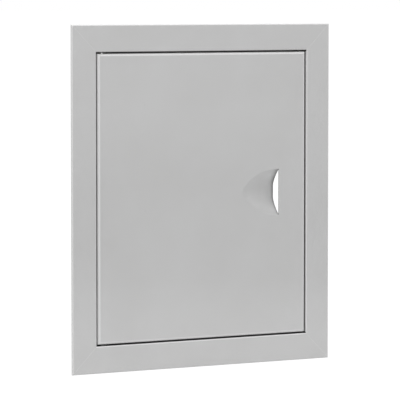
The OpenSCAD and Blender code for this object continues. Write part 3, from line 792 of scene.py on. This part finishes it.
def catch_screws():
    """Pan heads with a driver cross, and their shanks."""
    low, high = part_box("catch_screws")
    housing_low, housing_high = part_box("upper_catch_housing")
    seat = LIP_BACK - SHEET
    head_r, head_h, tip = (high.x - low.x) / 2, seat - low.y, seat - high.y
    shank_r, tip_r, tip_h, dome_r, top_r = 1.3 * MM, 0.9 * MM, 0.6 * MM, 1.1 * MM, head_r * 0.3
    profile = [(0, tip), (tip_r, tip), (shank_r, tip + tip_h), (shank_r, 0), (head_r, 0)]
    profile += rounded((head_r - dome_r, head_h - dome_r), dome_r, 0, 70)
    profile += [(top_r, head_h), (0, head_h)]

    ear, spin = 4.5 * MM, 40    # spin turns each screw by another angle, as screws end up
    x = (low.x + high.x) / 2
    heights = (housing_high.z - ear, housing_low.z + ear, -housing_high.z + ear, -housing_low.z - ear)
    places = [Matrix.Translation((x, seat, z)) @ Matrix.Rotation(QUARTER + z * spin, 4, "Y")
              @ Matrix.Rotation(QUARTER, 4, "X") for z in heights]
    bm = bmesh.new()
    for place in places:
        lathe(bm, profile, place)
    piece = add_piece("catch_screws_pan_head", bm, "frame", ZINC, ["catch_screws"])

    # One cut for each direction of the cross, as blades that cross each other leave nothing of the screws.
    long, thin, deep = 3 * MM, 0.6 * MM, 1.6 * MM
    for width, height in ((long, thin), (thin, long)):
        slots = bmesh.new()
        for place in places:
            blade = place @ Matrix.Translation((0, 0, head_h)) @ Matrix.Diagonal((width, height, deep, 1))
            bmesh.ops.create_cube(slots, size=1, matrix=blade)
        cut(piece, slots)
    even_normals(piece)


def bracket_rivets(name, body_name, heights):
    """Blind rivets: a domed head with the sunk end of its mandrel, and the bulged tail inside."""
    low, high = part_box(body_name)
    head_r = (high.z - low.z - (max(heights) - min(heights))) / 2
    head_h = -LEAF_HIGH.x - low.x
    grip = 2.5 * MM
    tail = high.x + LEAF_HIGH.x - grip
    mandrel_r, hole_r, shank_r = 0.75 * MM, 0.85 * MM, 1.6 * MM
    mandrel_h, hole_top = head_h * 0.25, head_h * 0.95
    profile = [(0, mandrel_h), (mandrel_r, mandrel_h), (hole_r, hole_top)]
    for degrees in (65, 45, 25, 8, 0):
        a = math.radians(degrees)
        profile.append((head_r * math.cos(a), head_h * math.sin(a)))
    profile += [(shank_r, 0), (shank_r, -grip)]
    profile += [(radius * MM, -grip - tail * share)
                for radius, share in ((2.2, 0.25), (2.3, 0.5), (1.9, 0.85), (1.1, 1), (0, 1))]
    bm = bmesh.new()
    for z in heights:
        place = Vector((-LEAF_HIGH.x, RIVET_Y, z))
        lathe(bm, profile, Matrix.Translation(place) @ Matrix.Rotation(-QUARTER, 4, "Y"), 32)
    piece = add_piece(name, bm, "door", ZINC, [body_name])
    even_normals(piece)


def bumpers():
    """Rubber discs with a soft edge, a shallow dimple and a bonded foot."""
    low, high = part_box("door_bumpers")
    thick = high.y - low.y
    foot_r, foot_h, edge = 4 * MM, 0.5 * MM, 0.7 * MM
    disc_r = foot_r - 0.15 * MM
    rim_r, dimple_r, dimple, middle = 1.6 * MM, 1.1 * MM, 0.35 * MM, 0.4 * MM
    profile = [(0, 0), (foot_r, 0), (foot_r, foot_h), (disc_r, foot_h + 0.1 * MM)]
    profile += rounded((disc_r - edge, thick - edge), edge, 0, 90)
    profile += [(rim_r, thick), (dimple_r, thick - dimple), (0, thick - middle)]
    latch_x, hinge_x = high.x - foot_r, low.x + foot_r
    hinge_z = high.z - foot_r
    latch_z = hinge_z - 15 * MM    # those at the latch side stand nearer to the middle
    bm = bmesh.new()
    for x, z in ((latch_x, latch_z), (latch_x, -latch_z), (hinge_x, hinge_z), (hinge_x, -hinge_z)):
        lathe(bm, profile, Matrix.Translation((x, high.y, z)) @ Matrix.Rotation(QUARTER, 4, "X"))
    piece = add_piece("door_bumpers_moulded", bm, "frame", RUBBER, ["door_bumpers"])
    even_normals(piece)


def pin_spring():
    """The spring pin's compression spring: nine free curls between two closed ends."""
    wire = 0.4 * MM
    mean = (SPRING_HIGH.x - SPRING_LOW.x) / 2 - wire
    low, height = SPRING_LOW.z + wire, SPRING_HIGH.z - SPRING_LOW.z - 2 * wire
    closed, free = 1.0, 9
    sides, rings_a_turn = 12, 28
    turns = free + 2 * closed
    rise = 2 * wire * closed
    rings = []
    bm = bmesh.new()
    for i in range(int(turns * rings_a_turn) + 1):
        t = i / rings_a_turn
        share = min(1.0, max(0.0, (t - closed) / free))
        ease = share + math.sin(4 * math.pi * share) / (60 * math.pi)    # the pitch isn't quite even
        z = low + rise * min(1.0, t / closed) + (height - 2 * rise) * ease
        z += rise * max(0.0, (t - closed - free) / closed)
        a = 2 * math.pi * t
        out = Vector((math.cos(a), math.sin(a), 0))
        centre = Vector((PIVOT.x, PIVOT.y, z)) + out * mean
        rings.append([bm.verts.new(centre + wire * (out * math.cos(b) + Vector((0, 0, math.sin(b)))))
                      for b in (2 * math.pi * k / sides for k in range(sides))])
    loft(bm, rings)
    piece = add_piece("pin_spring_coiled", bm, "door", WIRE_STEEL, ["pin_spring"])
    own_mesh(piece)


# Stage, lamps and camera

def stage():
    """A plain white floor. What sees it directly sees nearly white, and the object's soft shadow on it."""
    half_size, below = 60, 0.2 * MM
    floor_white, glow_strength, glow_share = 0.85, 1.105, 0.86
    bm = bmesh.new()
    bmesh.ops.create_grid(bm, x_segments=1, y_segments=1, size=half_size,
                          matrix=Matrix.Translation((0, 0, -OUTER_Z - below)))
    mesh = bpy.data.meshes.new("floor")
    bm.to_mesh(mesh)
    bm.free()
    floor = bpy.data.objects.new("floor", mesh)
    bpy.context.scene.collection.objects.link(floor)
    material = bpy.data.materials.new("white_floor")
    material.use_nodes = True
    nodes, links = material.node_tree.nodes, material.node_tree.links
    nodes.clear()
    diffuse = nodes.new("ShaderNodeBsdfDiffuse")
    diffuse.inputs["Color"].default_value = (floor_white, floor_white, floor_white, 1)
    glow = nodes.new("ShaderNodeEmission")
    glow.inputs["Strength"].default_value = glow_strength
    mix = nodes.new("ShaderNodeMixShader")
    output = nodes.new("ShaderNodeOutputMaterial")
    scale = nodes.new("ShaderNodeMath")
    scale.operation = "MULTIPLY"
    scale.inputs[1].default_value = glow_share
    links.new(seen_directly(nodes, links), scale.inputs[0])
    links.new(scale.outputs[0], mix.inputs["Fac"])
    links.new(diffuse.outputs[0], mix.inputs[1])
    links.new(glow.outputs[0], mix.inputs[2])
    links.new(mix.outputs[0], output.inputs["Surface"])
    mesh.materials.append(material)


def seen_directly(nodes, links):
    """1 for rays from the camera, a glossy surface or through glass, and 0 for the rest."""
    path = nodes.new("ShaderNodeLightPath")
    value = path.outputs["Is Camera Ray"]
    for name in ("Is Glossy Ray", "Is Transmission Ray"):
        larger = nodes.new("ShaderNodeMath")
        larger.operation = "MAXIMUM"
        links.new(value, larger.inputs[0])
        links.new(path.outputs[name], larger.inputs[1])
        value = larger.outputs[0]
    return value


def sky(strength):
    """A white surround for what sees it directly, and soft light of the given strength otherwise."""
    world = bpy.data.worlds.new("studio")
    bpy.context.scene.world = world
    world.use_nodes = True
    nodes, links = world.node_tree.nodes, world.node_tree.links
    nodes.clear()
    seen = nodes.new("ShaderNodeBackground")
    soft = nodes.new("ShaderNodeBackground")
    soft.inputs["Strength"].default_value = strength
    for background in (seen, soft):
        background.inputs["Color"].default_value = (1, 1, 1, 1)
    mix = nodes.new("ShaderNodeMixShader")
    output = nodes.new("ShaderNodeOutputWorld")
    links.new(seen_directly(nodes, links), mix.inputs["Fac"])
    links.new(soft.outputs[0], mix.inputs[1])
    links.new(seen.outputs[0], mix.inputs[2])
    links.new(mix.outputs[0], output.inputs["Surface"])


def softbox(name, place, power):
    """A square lamp of the given power in watts, aimed at the middle of the panel."""
    side = 2.5
    lamp = bpy.data.lights.new(name, "AREA")
    lamp.shape = "RECTANGLE"
    lamp.size, lamp.size_y = side, side
    lamp.energy = power
    holder = bpy.data.objects.new(name, lamp)
    holder.location = place
    holder.rotation_euler = (-Vector(place)).to_track_quat("-Z", "Y").to_euler()
    bpy.context.scene.collection.objects.link(holder)


def camera():
    """The photograph's view, from a fit to the eight corners of the frame and the opening."""
    place = (-1.5147, -2.6687, 0.2083)
    yaw, pitch = math.radians(29.533), math.radians(3.966)
    focal_px, image_px = 2962.1, 400
    data = bpy.data.cameras.new("camera")
    data.sensor_width = 36
    data.lens = focal_px / image_px * data.sensor_width
    data.clip_start, data.clip_end = 0.1, 200
    holder = bpy.data.objects.new("camera", data)
    holder.location = place
    forward = Vector((math.sin(yaw) * math.cos(pitch), math.cos(yaw) * math.cos(pitch), -math.sin(pitch)))
    holder.rotation_euler = forward.to_track_quat("-Z", "Y").to_euler()
    bpy.context.scene.collection.objects.link(holder)
    bpy.context.scene.camera = holder


bpy.context.scene.view_settings.view_transform = "Standard"
camera()
stage()
sky(0.55)
softbox("top_box", (-0.283, -0.49, 6.475), 153)
softbox("front_box", (-1.128, -6.393, 0.34), 73)
softbox("left_box", (-4.165, -1.943, 4.595), 96)

door_leaf()
mitre_seams()
frame_weld_beads()
door_weld_beads()
spot_welds()
catch_screws()
bracket_rivets("upper_rivets_blind", "upper_bracket_rivets", UPPER_RIVETS)
bracket_rivets("lower_rivets_blind", "lower_bracket_rivets", LOWER_RIVETS)
bumpers()
pin_spring()

# The material of each solid that stays, and the width of the bevel on its sharp edges in mm
NODE_FINISH = {
    "frame_top_rail": (PAINT, 0.12), "frame_bottom_rail": (PAINT, 0.12),
    "frame_hinge_rail": (PAINT, 0.12), "frame_latch_rail": (PAINT, 0.12),
    "corner_gussets": (ZINC, 0.15), "thrust_washer": (ACETAL, 0.05),
    "upper_pivot_bush": (ACETAL, 0.1), "lower_pivot_bush": (ACETAL, 0.1),
    "upper_catch_housing": (NYLON, 0.5), "lower_catch_housing": (NYLON, 0.5),
    "upper_catch_magnet": (FERRITE, 0.25), "lower_catch_magnet": (FERRITE, 0.25),
    "upper_pole_plates": (POLE_STEEL, 0.15), "lower_pole_plates": (POLE_STEEL, 0.15),
    "upper_hinge_bracket": (ZINC, 0.15), "lower_hinge_bracket": (ZINC, 0.15),
    "lower_hinge_pin": (PIN_STEEL, 0.1), "upper_hinge_pin": (PIN_STEEL, 0.0),
    "pin_clip": (WIRE_STEEL, 0.08),
}
for node_name, (finish, bevel_width) in NODE_FINISH.items():
    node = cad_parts[node_name]
    node.data.materials.clear()
    node.data.materials.append(finish)
    if bevel_width:
        soften_node(node, bevel_width * MM)
